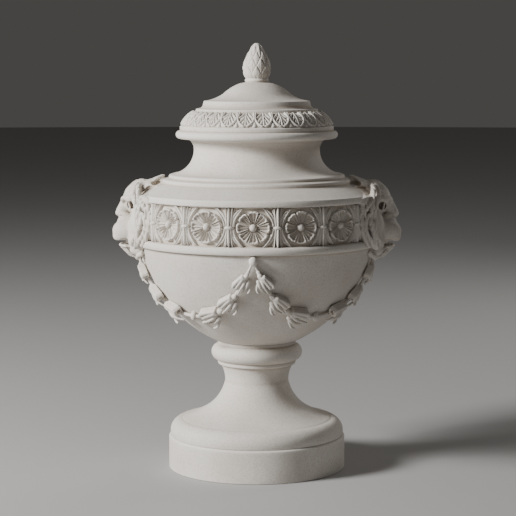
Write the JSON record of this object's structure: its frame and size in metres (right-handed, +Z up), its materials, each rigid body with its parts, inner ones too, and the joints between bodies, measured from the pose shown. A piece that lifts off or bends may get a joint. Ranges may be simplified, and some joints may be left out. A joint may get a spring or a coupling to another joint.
{
  "type": "lidded urn",
  "caption": "Lidded cinerary urn of carved stone on a round foot and drum plinth, with lion masks, husk garlands, a rosette frieze and a lift-off lid with a bud finial.",
  "frame": {"origin": "centre of the plinth's underside, on the urn's axis", "axes": "+Z up along the urn's axis; -Y to the front, through one rosette and one garland stud; the lion masks face +X and -X"},
  "size_m": [0.408, 0.3504, 0.6],
  "materials": {
    "stone": "matt carved limestone or marble, pale warm grey"
  },
  "bodies": {
    "root": {"plinth": "stone", "foot": "stone", "body": "stone", "lid": "stone"}
  },
  "joints": []
}
